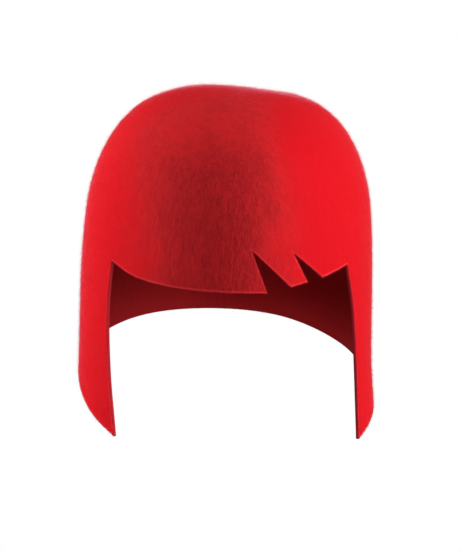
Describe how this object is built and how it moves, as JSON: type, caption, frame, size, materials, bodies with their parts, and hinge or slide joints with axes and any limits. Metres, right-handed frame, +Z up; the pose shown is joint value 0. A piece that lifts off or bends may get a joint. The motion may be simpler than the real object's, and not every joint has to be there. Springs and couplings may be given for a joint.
{
  "type": "felt hat",
  "caption": "Deep round cap of stiff wool felt cut like bobbed hair, with a notched fringe over the brow and a long pointed lock before each ear.",
  "frame": {"origin": "point on the inner face of the crown where the top of the head carries the hat", "axes": "+Z up; -Y towards the wearer's face, so the fringe is at -Y; +X towards the wearer's left"},
  "size_m": [0.1725, 0.2062, 0.202],
  "materials": {
    "red_felt": "matt pressed wool felt with a short nap"
  },
  "bodies": {
    "root": {"felt_body": "red_felt"}
  },
  "joints": []
}
